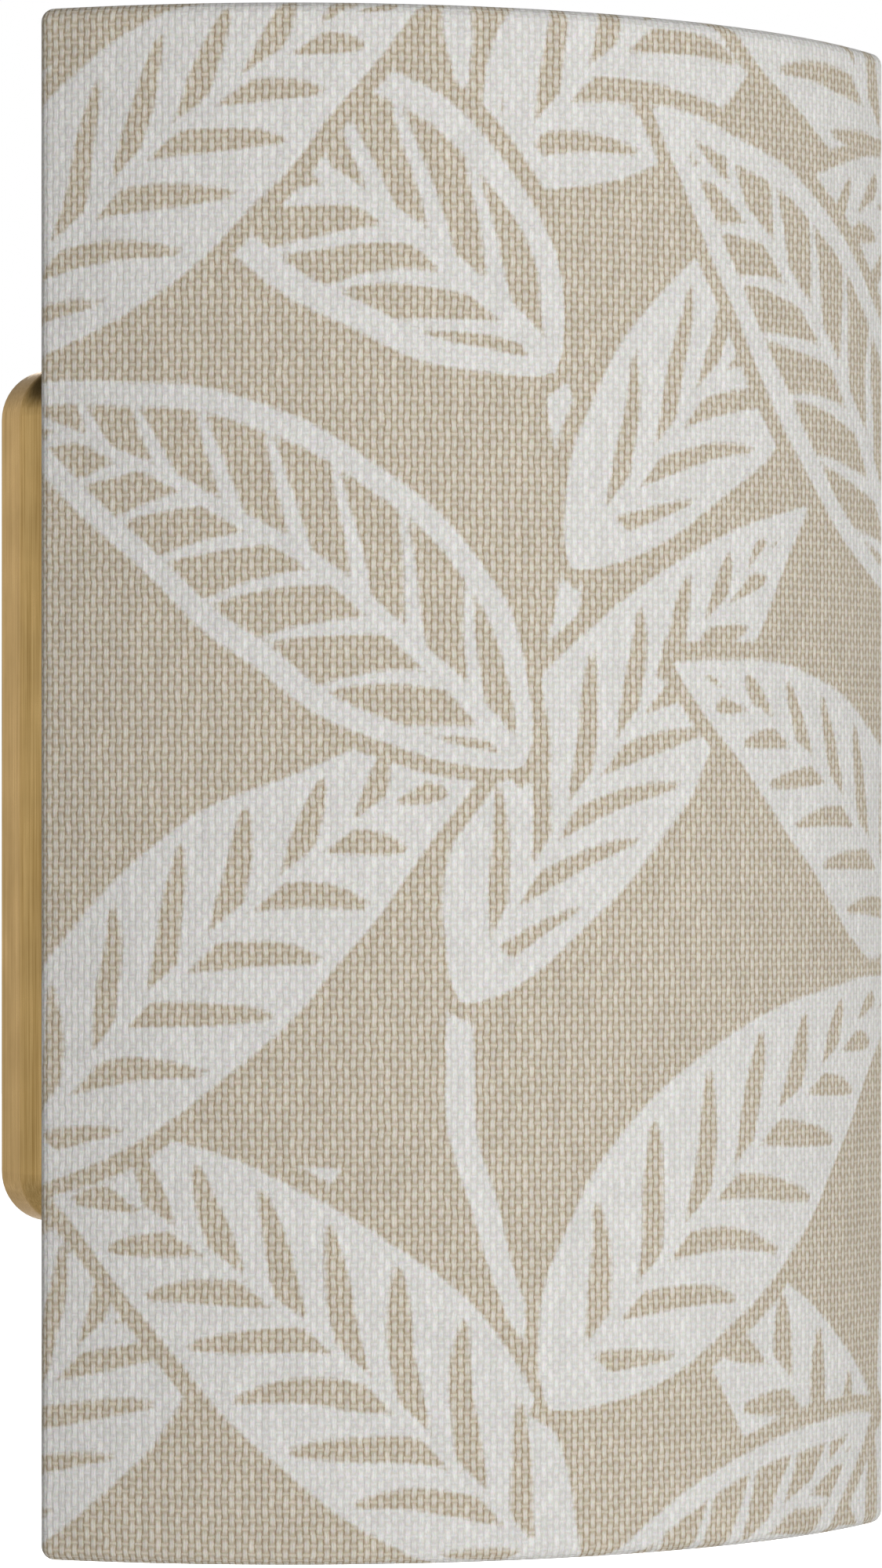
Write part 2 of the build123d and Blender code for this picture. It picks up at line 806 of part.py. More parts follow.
def curved_wire(level):
    with BuildPart() as wire:
        with BuildLine(Plane.XY.offset(level)) as path:
            CenterArc((0, curve_centre), wire_line, 270 - wire_angle, 2 * wire_angle)
        with BuildSketch(Plane(origin=path.line @ 0, z_dir=path.line % 0)):
            Circle(frame_wire)
        sweep()
    return wire.part


def side_wire(side):
    with BuildPart() as wire:
        with BuildSketch(Plane.XY.offset(shade_rise - side_wire_length / 2)):
            with Locations((side * side_wire_x, side_wire_y)):
                Circle(frame_wire)
        extrude(amount=side_wire_length)
    return wire.part


def crossbar(level):
    with BuildPart() as bar:
        with BuildSketch(Plane.YZ.offset(-bar_half)):
            with Locations((side_wire_y, level)):
                Circle(frame_wire)
        extrude(amount=2 * bar_half)
    return bar.part


with BuildPart() as upper_arc_wire:
    add(curved_wire(shade_rise + arc_wire_rise))

with BuildPart() as lower_arc_wire:
    add(curved_wire(shade_rise - arc_wire_rise))

with BuildPart() as left_side_wire:
    add(side_wire(-1))

with BuildPart() as right_side_wire:
    add(side_wire(1))

with BuildPart() as upper_crossbar:
    add(crossbar(shade_rise + bar_rise))

with BuildPart() as lower_crossbar:
    add(crossbar(shade_rise - bar_rise))

pin_levels = (carrier_rise + pin_level, -carrier_rise + pin_level)
with BuildPart() as hook_pins:
    for level in pin_levels:
        with BuildSketch(Plane.YZ.offset(-bar_half)):
            with Locations((side_wire_y, level)):
                Circle(pin_radius)
        extrude(amount=bar_half - pin_inner)
        with BuildSketch(Plane.YZ.offset(pin_inner)):
            with Locations((side_wire_y, level)):
                Circle(pin_radius)
        extrude(amount=bar_half - pin_inner)
    pin_ends = hook_pins.faces().filter_by(Plane.YZ)
    inner_ends = pin_ends.group_by(lambda face: abs(face.center().X))[0]
    chamfer(inner_ends.edges(), pin_radius / 4)


# ---- Shade cloth and liner ----

def band(level, outer, inner, angle, corner):
    with BuildSketch(Plane.XY.offset(level)) as outline:
        with BuildLine():
            front = CenterArc((0, curve_centre), outer, 270 - angle, 2 * angle)
            back = CenterArc((0, curve_centre), inner, 270 - angle, 2 * angle)
            Line(front @ 0, back @ 0)
            Line(front @ 1, back @ 1)
        make_face()
        if corner:
            fillet(outline.vertices(), corner)
    return outline.sketch


def rolled_panel(inset):
    outer = shade_radius - inset
    inner = shade_radius - edge_thickness + inset
    angle = half_angle - degrees(inset / shade_radius)
    with BuildPart() as panel:
        extrude(
            band(shade_bottom + inset, outer, inner, angle, roll - inset),
            amount=shade_height - 2 * inset,
        )
        for end in (0, -1):
            fillet(panel.faces().sort_by(Axis.Z)[end].edges(), roll - inset - close_fit)
    return panel.part


hem_angle = half_angle - degrees(hem / shade_radius)
lip_inner = shade_radius - edge_thickness
with BuildPart() as shade_fabric:
    add(rolled_panel(0))
    add(rolled_panel(cloth), mode=Mode.SUBTRACT)
    extrude(
        band(shade_bottom + hem, lip_inner + edge_thickness / 2, lip_inner - cloth, hem_angle, 0),
        amount=shade_height - 2 * hem,
        mode=Mode.SUBTRACT,
    )
    with BuildSketch(Plane.YZ):
        with Locations(
            (side_wire_y, shade_rise + bar_rise),
            (side_wire_y, shade_rise - bar_rise),
        ):
            Circle(frame_wire + hem_clearance)
        with Locations((side_wire_y, pin_levels[0]), (side_wire_y, pin_levels[1])):
            Circle(pin_radius + hem_clearance)
    extrude(amount=side_wire_x, both=True, mode=Mode.SUBTRACT)

liner_outer = shade_radius - cloth - close_fit
liner_angle = half_angle - degrees(roll / shade_radius)
with BuildPart() as shade_liner:
    extrude(
        band(shade_bottom + roll, liner_outer, liner_outer - liner, liner_angle, 0),
        amount=shade_height - 2 * roll,
    )


pieces = {
    "wall_plate": wall_plate,
    "cover_studs": cover_studs,
    "cable_bush": cable_bush,
    "terminal_block": terminal_block,
    "terminal_screws": terminal_screws,
    "terminal_fixing_screw": terminal_fixing_screw,
    "earth_washer": earth_washer,
    "earth_tag": earth_tag,
    "earth_screw": earth_screw,
    "live_wire": live_wire,
    "neutral_wire": neutral_wire,
    "earth_wire": earth_wire,
    "backplate_cover": backplate_cover,
    "cover_nuts": cover_nuts,
    "rear_nipple": rear_nipple,
    "rear_washer": rear_washer,
    "rear_locknut": rear_locknut,
    "arm_sleeve": arm_sleeve,
    "elbow_block": elbow_block,
    "upper_nipple": upper_nipple,
    "check_ring": check_ring,
    "lampholder_base": lampholder_base,
    "lampholder_core": lampholder_core,
    "lampholder_skirt": lampholder_skirt,
    "thread_sleeve": thread_sleeve,
    "centre_contact": centre_contact,
    "upper_carrier": upper_carrier,
    "lower_carrier": lower_carrier,
    "carrier_screws": carrier_screws,
    "carrier_nuts": carrier_nuts,
    "shade_fabric": shade_fabric,
    "shade_liner": shade_liner,
    "upper_arc_wire": upper_arc_wire,
    "lower_arc_wire": lower_arc_wire,
    "left_side_wire": left_side_wire,
    "right_side_wire": right_side_wire,
    "upper_crossbar": upper_crossbar,
    "lower_crossbar": lower_crossbar,
    "hook_pins": hook_pins,
    "lamp_glass": lamp_glass,
    "lamp_cap": lamp_cap,
    "lamp_insulator": lamp_insulator,
    "lamp_contact": lamp_contact,
    "lamp_stem": lamp_stem,
    "lamp_filaments": lamp_filaments,
}
for name, piece in pieces.items():
    piece.part.label = name
    export_step(piece.part, f"parts/{name}.step")
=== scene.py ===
import json
import math
import bpy
import numpy as np
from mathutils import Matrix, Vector


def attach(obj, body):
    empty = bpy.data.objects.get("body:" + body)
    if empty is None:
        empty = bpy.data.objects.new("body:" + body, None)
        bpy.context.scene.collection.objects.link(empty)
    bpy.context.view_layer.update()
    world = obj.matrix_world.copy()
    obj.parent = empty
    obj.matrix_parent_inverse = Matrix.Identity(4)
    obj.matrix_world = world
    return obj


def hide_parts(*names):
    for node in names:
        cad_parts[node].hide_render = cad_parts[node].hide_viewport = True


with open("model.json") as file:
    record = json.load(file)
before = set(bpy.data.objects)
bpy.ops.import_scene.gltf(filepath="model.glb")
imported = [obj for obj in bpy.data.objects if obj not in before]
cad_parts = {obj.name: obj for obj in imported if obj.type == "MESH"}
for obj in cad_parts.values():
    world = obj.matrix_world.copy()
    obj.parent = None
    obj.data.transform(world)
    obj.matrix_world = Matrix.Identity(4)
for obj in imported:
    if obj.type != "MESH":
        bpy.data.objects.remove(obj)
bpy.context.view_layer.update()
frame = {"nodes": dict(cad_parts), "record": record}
nodes = frame["nodes"]
scene = bpy.context.scene
scene.view_settings.view_transform = "Standard"
millimetre = 0.001
print("frame loaded:", len(nodes), "nodes")


# Camera, at the photograph's place: left of the light and a little below its middle. Metres
cameraPlace = {
    "lens": 135.0,              # millimetres
    "yaw": 21.29,               # degrees to the right of the wall's normal
    "distance": 0.974,          # to the line between the shade's rear edges
    "sideways": -0.0053,
    "height": -0.0105,
    "rearEdges": 0.034,         # from the wall
    "shift": 0.04765,           # of the frame's height
}


def makeCamera(place):
    yaw = math.radians(place["yaw"])
    ahead = Vector((math.sin(yaw), math.cos(yaw), 0.0))
    aside = Vector((math.cos(yaw), -math.sin(yaw), 0.0))
    data = bpy.data.cameras.new("camera")
    data.lens = place["lens"]
    data.shift_y = place["shift"]
    camera = bpy.data.objects.new("camera", data)
    scene.collection.objects.link(camera)
    camera.location = (
        Vector((0.0, -place["rearEdges"], place["height"]))
        - place["distance"] * ahead
        + place["sideways"] * aside
    )
    camera.rotation_euler = (math.pi / 2, 0.0, -yaw)
    scene.camera = camera


makeCamera(cameraPlace)


def linear(colour):
    # sRGB hex to the linear colour that shaders take
    parts = [int(colour[i:i + 2], 16) / 255 for i in (1, 3, 5)]
    return tuple(c / 12.92 if c <= 0.04045 else ((c + 0.055) / 1.055) ** 2.4 for c in parts) + (1.0,)


def addNode(tree, kind, inputs=None, **settings):
    node = tree.nodes.new("ShaderNode" + kind)
    for name, value in settings.items():
        setattr(node, name, value)
    for key, value in (inputs or {}).items():
        if isinstance(value, bpy.types.NodeSocket):
            tree.links.new(value, node.inputs[key])
        else:
            node.inputs[key].default_value = value
    return node


def newMaterial(name):
    material = bpy.data.materials.new(name)
    material.use_nodes = True
    material.node_tree.nodes.clear()
    return material, material.node_tree


def closeMaterial(tree, surface):
    output = addNode(tree, "OutputMaterial")
    tree.links.new(surface, output.inputs["Surface"])


# Light: a large soft box in front, a weak one at the right, one behind at the right, and a pale room
# all round. Mirrored, the room is pale at eye height and dark towards the ceiling, and the floor
# shows part of its glow, so that metal shows its rounding. Degrees, metres and watts
studio = {
    "boxes": {
        "front": {"azimuth": 0.0, "height": -3.0, "distance": 1.6, "size": 1.0, "watts": 22.5},
        "right": {"azimuth": 74.0, "height": 8.0, "distance": 1.6, "size": 0.9, "watts": 2.2},
        "back": {"azimuth": 150.0, "height": 10.0, "distance": 1.6, "size": 1.1, "watts": 12.0},
    },
    "roomLevel": 0.24,
    "mirroredMiddle": 0.90,
    "mirroredTop": 0.06,
    "mirroredBand": (0.12, 0.60),   # height of a direction, from the one to the other
    "mirroredFloor": 0.45,          # share of the floor's glow
    "floorHalf": 6.0,
    "floorDrop": 0.30,
    "floorColour": "#F4F3F1",
    "floorGlow": (0.30, 1.0),
    "glowReach": (0.5, 1.6),        # from the light's foot
}


def makeSoftBoxes(boxes):
    for name, box in boxes.items():
        turn, rise = math.radians(box["azimuth"]), math.radians(box["height"])
        level = math.cos(rise)
        away = Vector((math.sin(turn) * level, -math.cos(turn) * level, math.sin(rise)))
        data = bpy.data.lights.new(name + "SoftBox", "AREA")
        data.shape = "SQUARE"
        data.size = box["size"]
        data.energy = box["watts"]
        lamp = bpy.data.objects.new(name + "SoftBox", data)
        scene.collection.objects.link(lamp)
        lamp.location = away * box["distance"]
        lamp.rotation_euler = away.to_track_quat("Z", "Y").to_euler()


def makeRoom(light):
    world = bpy.data.worlds.new("paleRoom")
    world.use_nodes = True
    scene.world = world
    tree = world.node_tree
    tree.nodes.clear()
    path = addNode(tree, "LightPath")
    toward = addNode(tree, "TexCoord")
    toward = addNode(tree, "SeparateXYZ", {0: toward.outputs["Generated"]})
    steep = addNode(tree, "Math", {0: toward.outputs[2]}, operation="ABSOLUTE")
    mirrored = addNode(tree, "MapRange", {
        "Value": steep.outputs[0],
        "From Min": light["mirroredBand"][0],
        "From Max": light["mirroredBand"][1],
        "To Min": light["mirroredMiddle"],
        "To Max": light["mirroredTop"],
    })
    seen = addNode(tree, "Math", {
        0: path.outputs["Is Camera Ray"], 1: path.outputs["Is Transmission Ray"],
    }, operation="MAXIMUM")
    level = addNode(tree, "MapRange", {
        "Value": seen.outputs[0], "To Min": light["roomLevel"], "To Max": 1.0,
    })
    level = addNode(tree, "Mix", {
        0: path.outputs["Is Glossy Ray"], 2: level.outputs[0], 3: mirrored.outputs[0],
    }, data_type="FLOAT")
    room = addNode(tree, "Background", {"Color": (1.0, 1.0, 1.0, 1.0), "Strength": level.outputs[0]})
    output = addNode(tree, "OutputWorld")
    tree.links.new(room.outputs[0], output.inputs["Surface"])


def makeFloor(light):
    # painted studio floor: flat pale paint that glows for the camera, more so far from the light
    half = light["floorHalf"]
    corners = [(-half, -half, 0), (half, -half, 0), (half, half, 0), (-half, half, 0)]
    mesh = bpy.data.meshes.new("floor")
    mesh.from_pydata(corners, [], [(0, 1, 2, 3)])
    floor = bpy.data.objects.new("floor", mesh)
    scene.collection.objects.link(floor)
    floor.location.z = -light["floorDrop"]
    material, tree = newMaterial("paintedStudioFloor")
    path = addNode(tree, "LightPath")
    paint = addNode(tree, "BsdfDiffuse", {"Color": linear(light["floorColour"])})
    place = addNode(tree, "TexCoord")
    away = addNode(tree, "VectorMath", {0: place.outputs["Object"]}, operation="LENGTH")
    level = addNode(tree, "MapRange", {
        "Value": away.outputs["Value"],
        "From Min": light["glowReach"][0],
        "From Max": light["glowReach"][1],
        "To Min": light["floorGlow"][0],
        "To Max": light["floorGlow"][1],
    })
    glow = addNode(tree, "Emission", {"Color": (1.0, 1.0, 1.0, 1.0), "Strength": level.outputs[0]})
    bright = addNode(tree, "AddShader", {0: paint.outputs[0], 1: glow.outputs[0]})
    seen = addNode(tree, "Math", {
        0: path.outputs["Is Glossy Ray"], 1: light["mirroredFloor"], 2: path.outputs["Is Camera Ray"],
    }, operation="MULTIPLY_ADD")
    shown = addNode(tree, "MixShader", {0: seen.outputs[0], 1: paint.outputs[0], 2: bright.outputs[0]})
    # clear from below, so that the light's underside can be seen
    side = addNode(tree, "NewGeometry")
    clear = addNode(tree, "BsdfTransparent")
    shown = addNode(tree, "MixShader", {
        0: side.outputs["Backfacing"], 1: shown.outputs[0], 2: clear.outputs[0],
    })
    closeMaterial(tree, shown.outputs[0])
    mesh.materials.append(material)


makeSoftBoxes(studio["boxes"])
makeRoom(studio)
makeFloor(studio)
print("camera, soft boxes and floor made")


# Shade cloth. Sizes are those of the solids, in millimetres
shade = {
    "height": 250.0,
    "chord": 151.0,
    "radius": 111.0,
    "standoff": 34.0,
    "rise": 1.5,
    "thickness": 4.9,           # cloth, liner, frame wire and hem
    "roll": 2.2,                # rounding over the frame
    "cloth": 0.7,
    "hem": 9.0,
    "wireInset": 2.3,
    "wireLine": 108.35,
    "frameWire": 1.5,
    "crossbarInset": 16.0,
    "pinRise": 2.2,             # pins above the middle of each carrier
    "carrierRise": 38.0,
    "pinRadius": 2.0,
    "holeGap": 0.12,            # of the cloth round pins and crossbars
    "holeLoss": 0.75,           # of a grid step: points further inside a hole are dropped
    "gridStep": 0.9,
    "rollSteps": 6,
}

sag = shade["radius"] - math.sqrt(shade["radius"] ** 2 - (shade["chord"] / 2) ** 2)
curveCentre = shade["radius"] - shade["standoff"] - sag
halfAngle = math.asin(shade["chord"] / 2 / shade["radius"])
halfWidth = halfAngle * shade["radius"]
halfHeight = shade["height"] / 2
wireAngle = halfAngle - math.asin(shade["wireInset"] / shade["wireLine"])
sideWireY = curveCentre - shade["wireLine"] * math.cos(wireAngle)

# Leaf print: plain broad leaves on swaying stems, in a half drop. Lengths in millimetres, leaning in
# degrees. A pair is the least and the most that a leaf may have
leafPrint = {
    "seed": 8,
    "columns": (-2, 3),
    "rows": (-5, 5),
    "stemPitch": 96.0,
    "stemShift": -4.0,
    "stemSway": 10.0,
    "swayLength": 170.0,
    "swayPhase": 2.1,           # radians from one stem to the next
    "stemHalf": 2.2,
    "stemSlope": 0.96,          # from across a stem to square to its edge
    "leafStep": 66.0,
    "leafJitter": (-3.0, 3.0),
    "leafLength": (92.0, 128.0),
    "leafHalf": (16.0, 21.0),
    "leafLean": (26.0, 42.0),
    "leafBend": (0.30, 0.85),
    "veinPitch": (12.0, 15.0),
    "veinLean": (28.0, 38.0),
    "gapShare": (0.46, 0.56),   # of the vein pitch, in leaves filled with white
    "openShare": 0.34,          # of leaves, drawn in white lines only
    "line": (1.5, 2.0),         # half width of their outline
    "rim": (2.4, 3.75),
    "rib": (1.0, 1.5),
    "margin": 2.6,
    "leastShown": 0.63,         # of a leaf, or it is left out
    "shownHalf": (96.0, 138.0),     # field that this is counted on
    "shownStep": 3.0,
    "bare": -6.0,               # depth given to linen far from any ink
    "wobble": 0.7,
}

# What all leaves share. A width comes with what it loses from rib to rim or from stem to tip
leafShape = {
    "broadest": 0.78,           # under 1 brings the broadest place nearer the stem
    "fullness": 0.86,           # under 1 fills the outline out
    "edgeSlope": 0.86,          # from across a leaf to square to its edge
    "veinCurl": 0.018,          # per millimetre from the rib
    "veinWidth": (0.85, 0.6),   # of the outline's, in leaves drawn in lines
    "ribWidth": (1.1, 0.6),
    "ribTaper": 0.55,
    "gapTaper": 0.8,
    "gapRound": 2.2,            # how late a gap narrows
    "gapEnds": (0.1, 0.96),     # of the leaf's length
}


def leafFields(u, v, leaf):
    # depths in millimetres inside a leaf's outline and inside its white
    cosine, sine = math.cos(leaf["turn"]), math.sin(leaf["turn"])
    a = (u - leaf["x"]) * cosine + (v - leaf["y"]) * sine
    b = ((v - leaf["y"]) * cosine - (u - leaf["x"]) * sine) * leaf["hand"]
    bendRadius = leaf["length"] / leaf["bend"]
    along = bendRadius * np.arctan2(a, bendRadius - b)
    across = bendRadius - np.hypot(a, b - bendRadius)
    share = np.clip(along / leaf["length"], 0.0, 1.0)
    swell = np.maximum(np.sin(np.pi * share ** leafShape["broadest"]), 0.0)
    half = leaf["half"] * swell ** leafShape["fullness"]
    side = np.abs(across)
    ends = np.minimum(along, leaf["length"] - along)
    body = (half - side) * leafShape["edgeSlope"]
    body = np.where(ends > 0, body, np.minimum(body, ends))

    # veins spring from the rib, half a pitch apart on its two sides
    sweep = along - side / math.tan(leaf["veinLean"]) + side ** 2 * leafShape["veinCurl"]
    cycle = sweep / leaf["veinPitch"] + np.where(across > 0, 0.5, 0.0)
    spacing = leaf["veinPitch"] * math.sin(leaf["veinLean"])
    distance = np.abs(cycle - np.round(cycle)) * spacing
    reach = np.clip(side / np.maximum(half - leaf["rim"], 0.1), 0.0, 1.3)    # 0 at the rib, 1 at the rim
    if leaf["open"]:
        line = leaf["line"]
        width, loss = leafShape["veinWidth"]
        veins = line * (width - loss * reach) - distance
        width, loss = leafShape["ribWidth"]
        rib = width * line * (1.0 - loss * share) - side
        return body, np.minimum(body, np.maximum(np.maximum(2 * line - body, veins), rib))
    width = 0.5 * leaf["gapShare"] * spacing * (1.0 - leafShape["gapTaper"] * reach ** leafShape["gapRound"])
    gap = np.minimum(width - distance, half - leaf["rim"] - side)
    gap = np.minimum(gap, side - leaf["rib"] * (1.0 - leafShape["ribTaper"] * share))
    first, last = (end * leaf["length"] for end in leafShape["gapEnds"])
    gap = np.minimum(gap, np.minimum(along - first, last - along))
    return body, np.minimum(body, -gap)


def stemAt(column, v, design):
    turns = 2 * np.pi * v / design["swayLength"] + column * design["swayPhase"]
    return column * design["stemPitch"] + design["stemShift"] + design["stemSway"] * np.sin(turns)


def placeLeaves(design, draw):
    leaves = []
    for column in range(*design["columns"]):
        drop = design["leafStep"] * 0.5 * (column % 2)
        for row in range(*design["rows"]):
            for hand in (-1, 1):
                up = (row + 0.25 * (1 + hand)) * design["leafStep"] + drop
                y = up + draw.uniform(*design["leafJitter"])
                lean = math.radians(draw.uniform(*design["leafLean"]))
                leaves.append({
                    "x": stemAt(column, y, design),
                    "y": y,
                    "hand": -hand,
                    "turn": math.pi / 2 - hand * lean,
                    "length": draw.uniform(*design["leafLength"]),
                    "half": draw.uniform(*design["leafHalf"]),
                    "bend": draw.uniform(*design["leafBend"]),
                    "veinPitch": draw.uniform(*design["veinPitch"]),
                    "veinLean": math.radians(draw.uniform(*design["veinLean"])),
                    "gapShare": draw.uniform(*design["gapShare"]),
                    "rim": draw.uniform(*design["rim"]),
                    "rib": draw.uniform(*design["rib"]),
                    "line": draw.uniform(*design["line"]),
                    "open": draw.random() < design["openShare"],
                })
    return leaves


def shownLeaves(leaves, order, design):
    # later leaves lie over earlier ones, and a leaf that would hardly show is left out
    halfU, halfV = design["shownHalf"]
    step = design["shownStep"]
    u, v = np.meshgrid(np.arange(-halfU, halfU + step / 2, step), np.arange(-halfV, halfV + step / 2, step))
    owner = np.full(u.shape, -1)
    size = np.ones(len(leaves))
    for index in order:
        under = leafFields(u, v, leaves[index])[0] > 0
        owner[under] = index
        size[index] = max(under.sum(), 1)
    shown = np.bincount(owner[owner >= 0], minlength=len(leaves)) / size
    return [leaves[index] for index in order if shown[index] > design["leastShown"]]


def unevenPlace(u, v, wobble):
    # crossed waves, a few millimetres long, that make the ink's edges look cut by hand
    driftU = np.sin(u / 5.1 + 1.3 * np.sin(v / 7.3)) + 0.6 * np.sin(v / 3.1 + 2.0 + u / 9.0)
    driftV = np.sin(v / 6.3 + 1.1 * np.sin(u / 8.9 + 0.7)) + 0.6 * np.sin(u / 3.7 + 0.4 - v / 11.0)
    return u + 0.5 * wobble * driftU, v + 0.5 * wobble * driftV


def printField(u, v, design):
    # millimetres inside the white ink, negative on bare linen
    draw = np.random.default_rng(design["seed"])
    leaves = placeLeaves(design, draw)
    order = draw.permutation(len(leaves))
    u, v = unevenPlace(u, v, design["wobble"])
    field = np.full(u.shape, design["bare"])
    for column in range(*design["columns"]):
        aside = np.abs(u - stemAt(column, v, design))
        field = np.maximum(field, design["stemHalf"] - design["stemSlope"] * aside)
    for leaf in shownLeaves(leaves, order, design):
        body, white = leafFields(u, v, leaf)
        field = np.maximum(np.minimum(field, -(body + design["margin"])), white)
    return field


def uniqueLines(lines):
    return np.unique(np.round(np.concatenate(lines), 6))


def rollLines(panel):
    # depths of grid lines on the rounding over the frame, at even turns
    return panel["roll"] * (1 - np.tan(np.linspace(0, math.pi / 4, panel["rollSteps"] + 1)))


def gridLines(half, panel):
    # from rim to rim, finer where the cloth rolls over the frame
    hem = panel["hem"]
    hemCount = max(2, round((hem - panel["roll"]) / panel["gridStep"]))
    inner = np.linspace(half - panel["roll"], half - hem, hemCount)
    middleCount = round(2 * (half - hem) / panel["gridStep"]) + 1
    middle = np.linspace(-(half - hem), half - hem, middleCount)
    positive = uniqueLines([half - rollLines(panel), inner])
    return uniqueLines([-positive, middle, positive])


def makeClothMesh(panel):
    # the cloth as a box: front, four rims and the turned hem on the back. A point is x, depth, z
    thick = panel["thickness"]
    across = gridLines(halfWidth, panel)
    upward = gridLines(halfHeight, panel)
    depth = uniqueLines([rollLines(panel), thick - rollLines(panel)])
    points, index, faces, sides = [], {}, [], []

    def corner(x, d, z):
        key = (round(x, 5), round(d, 5), round(z, 5))
        if key not in index:
            index[key] = len(points)
            points.append(key)
        return index[key]

    def patch(first, second, place, side, flip):
        for i in range(len(first) - 1):
            for j in range(len(second) - 1):
                quad = [
                    corner(*place(first[i], second[j])),
                    corner(*place(first[i + 1], second[j])),
                    corner(*place(first[i + 1], second[j + 1])),
                    corner(*place(first[i], second[j + 1])),
                ]
                faces.append(quad[::-1] if flip else quad)
                sides.append(side)

    patch(across, upward, lambda a, c: (a, 0.0, c), "front", False)
    for sign in (-1, 1):
        patch(depth, upward, lambda d, c, s=sign: (s * halfWidth, d, c), "side", sign < 0)
        patch(across, depth, lambda a, d, s=sign: (a, d, s * halfHeight), "end", sign < 0)
    hemX, hemZ = halfWidth - panel["hem"], halfHeight - panel["hem"]
    for i in range(len(across) - 1):
        for j in range(len(upward) - 1):
            midA, midC = (across[i] + across[i + 1]) / 2, (upward[j] + upward[j + 1]) / 2
            if abs(midA) < hemX and abs(midC) < hemZ:
                continue
            faces.append([
                corner(across[i], thick, upward[j]),
                corner(across[i], thick, upward[j + 1]),
                corner(across[i + 1], thick, upward[j + 1]),
                corner(across[i + 1], thick, upward[j]),
            ])
            sides.append("sideHem" if halfWidth - abs(midA) < halfHeight - abs(midC) else "endHem")
    return np.array(points), np.array(faces), np.array(sides)


def rolledPlace(box, panel, inset):
    # box points pulled on to a slab with rounded rims, inset from its outer face
    rho = panel["roll"]
    low = np.array([-halfWidth + rho, rho, -halfHeight + rho])
    high = np.array([halfWidth - rho, panel["thickness"] - rho, halfHeight - rho])
    core = np.clip(box, low, high)
    out = box - core
    out /= np.linalg.norm(out, axis=1)[:, None]
    return core + out * (rho - inset)


def curvedPlace(slab, panel):
    # slab points laid round the shade's curve, in millimetres
    angle = slab[:, 0] / panel["radius"]
    reach = panel["radius"] - slab[:, 1]
    return np.stack([
        reach * np.sin(angle),
        curveCentre - reach * np.cos(angle),
        slab[:, 2] + panel["rise"],
    ], axis=1)


def openHoles(slab, panel):
    # moves the side hems' points off the pins and crossbars; returns what lies inside
    inside = np.zeros(len(slab), bool)
    moved = slab.copy()
    slope = math.sin(wireAngle)
    barRise = halfHeight - panel["crossbarInset"]
    rods = [(sign * panel["carrierRise"] + panel["pinRise"], panel["pinRadius"]) for sign in (-1, 1)]
    rods += [(panel["rise"] + sign * barRise, panel["frameWire"]) for sign in (-1, 1)]
    hemZone = (slab[:, 1] > panel["thickness"] / 2) & (np.abs(slab[:, 0]) < halfWidth - panel["roll"])
    space = curvedPlace(slab, panel)
    for level, radius in rods:
        clear = radius + panel["holeGap"]
        offY = space[:, 1] - sideWireY
        offZ = space[:, 2] - level
        away = np.hypot(offY, offZ)
        near = hemZone & (away < clear)
        push = clear / np.maximum(away, 1e-6) - 1
        inside |= near & (away < clear - panel["holeLoss"] * panel["gridStep"])
        edge = near & ~inside
        moved[edge, 0] += (np.sign(slab[:, 0]) * offY * push / slope)[edge]
        moved[edge, 2] += (offZ * push)[edge]
    return moved, inside


def unrolledPlace(box, sides, panel):
    # where the weave runs: rims and hems carry on from the front, as the cloth was cut
    x, depth, z = box.T
    u, v = x.copy(), z.copy()
    overSides = {"side": halfWidth + depth, "sideHem": 2 * halfWidth + panel["thickness"] - np.abs(x)}
    overEnds = {"end": halfHeight + depth, "endHem": 2 * halfHeight + panel["thickness"] - np.abs(z)}
    for line, source, over in ((u, x, overSides), (v, z, overEnds)):
        for side, reach in over.items():
            here = sides == side
            line[here] = (np.sign(source) * reach)[here]
    return np.stack([u, v], axis=1)


def makeCloth(panel, design):
    box, faces, sides = makeClothMesh(panel)
    outer, hidden = openHoles(rolledPlace(box, panel, 0.0), panel)
    inner = openHoles(rolledPlace(box, panel, panel["cloth"]), panel)[0]
    keep = ~hidden[faces].any(axis=1)
    faces, sides = faces[keep], sides[keep]
    count = len(box)
    vertices = np.concatenate([curvedPlace(outer, panel), curvedPlace(inner, panel)]) * millimetre

    # outer layer, inner layer and the strips that close their open rims
    edges = {}
    for f, quad in enumerate(faces.tolist()):
        for a, b in zip(quad, quad[1:] + quad[:1]):
            edges.setdefault((min(a, b), max(a, b)), []).append((a, b, f))
    rims = [uses[0] for uses in edges.values() if len(uses) == 1]
    closing = [[b, a, a + count, b + count] for a, b, f in rims]
    allFaces = faces.tolist() + (faces[:, ::-1] + count).tolist() + closing
    origin = np.concatenate([np.arange(len(faces)), np.arange(len(faces)), [f for a, b, f in rims]])

    mesh = bpy.data.meshes.new("shadeCloth")
    mesh.from_pydata(vertices.tolist(), [], allFaces)
    loopVertex = np.array([v for quad in allFaces for v in quad]) % count
    places = unrolledPlace(box[loopVertex], np.repeat(sides[origin.astype(int)], 4), panel)
    flat = np.concatenate([places, np.zeros((len(places), 1))], axis=1)
    attribute = mesh.attributes.new("clothPlace", "FLOAT_VECTOR", "CORNER")
    attribute.data.foreach_set("vector", flat.astype(np.float32).ravel())
    once, back = np.unique(np.round(places, 4), axis=0, return_inverse=True)
    attribute = mesh.attributes.new("inkDepth", "FLOAT", "CORNER")
    attribute.data.foreach_set("value", printField(*once.T, design)[back.ravel()].astype(np.float32))
    mesh.polygons.foreach_set("use_smooth", np.ones(len(allFaces), bool))
    mesh.update()
    cloth = bpy.data.objects.new("shadeCloth", mesh)
    scene.collection.objects.link(cloth)
    return cloth


shadeCloth = makeCloth(shade, leafPrint)
print("shade cloth made:", len(shadeCloth.data.vertices), "points")


